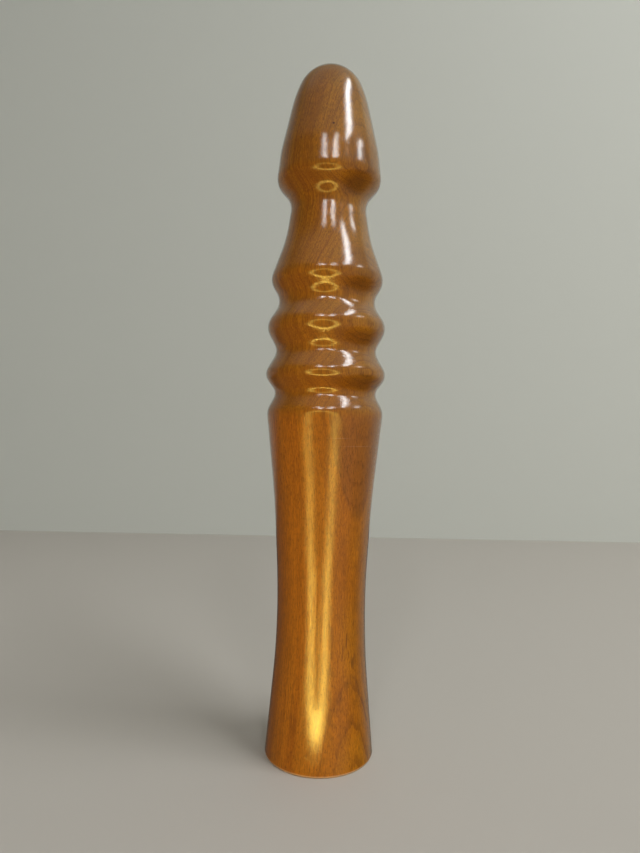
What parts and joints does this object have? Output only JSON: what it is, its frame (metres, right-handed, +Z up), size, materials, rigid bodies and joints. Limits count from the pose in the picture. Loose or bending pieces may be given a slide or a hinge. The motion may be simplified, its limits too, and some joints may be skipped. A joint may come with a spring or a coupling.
{
  "type": "turned wooden mallet baton",
  "caption": "One-piece spindle-turned hardwood baton with a rounded acorn end, beaded grip and long waisted shaft that flares to a flat foot.",
  "frame": {"origin": "centre of the flat foot that the baton stands on", "axes": "+Z up along the turning axis, from the foot to the rounded end; +X and +Y are level and equivalent, because the body is a solid of revolution"},
  "size_m": [0.0382, 0.0382, 0.22],
  "materials": {
    "lacquered_wood": "clear gloss lacquer over golden-brown hardwood"
  },
  "bodies": {
    "root": {"turned_body": "lacquered_wood"}
  },
  "joints": []
}
